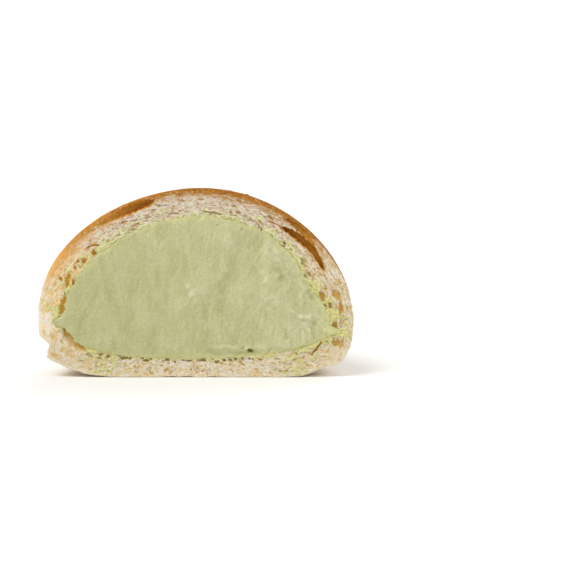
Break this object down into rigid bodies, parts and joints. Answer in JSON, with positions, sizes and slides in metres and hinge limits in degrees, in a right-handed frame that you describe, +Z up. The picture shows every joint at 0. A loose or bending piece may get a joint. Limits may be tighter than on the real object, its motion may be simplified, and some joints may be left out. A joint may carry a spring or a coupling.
{
  "type": "green tea cream bun",
  "caption": "Half of a soft round baked bun, standing on its flat base, cut straight through to show a thick filling of green tea cream.",
  "frame": {"origin": "on the surface that the half bun stands on, under the middle of its box", "axes": "+X along the width of the cut face, to its right as seen from the front; -Y the way the cut face looks; +Z up"},
  "size_m": [0.09, 0.0468, 0.0542],
  "materials": {
    "bread": "soft baked milk bread: brown thin crust on top, pale sides, open pale crumb on the cut",
    "green_tea_cream": "smooth matte green tea custard cream with faint knife drags"
  },
  "bodies": {
    "root": {"bread": "bread", "green_tea_cream": "green_tea_cream"}
  },
  "joints": []
}
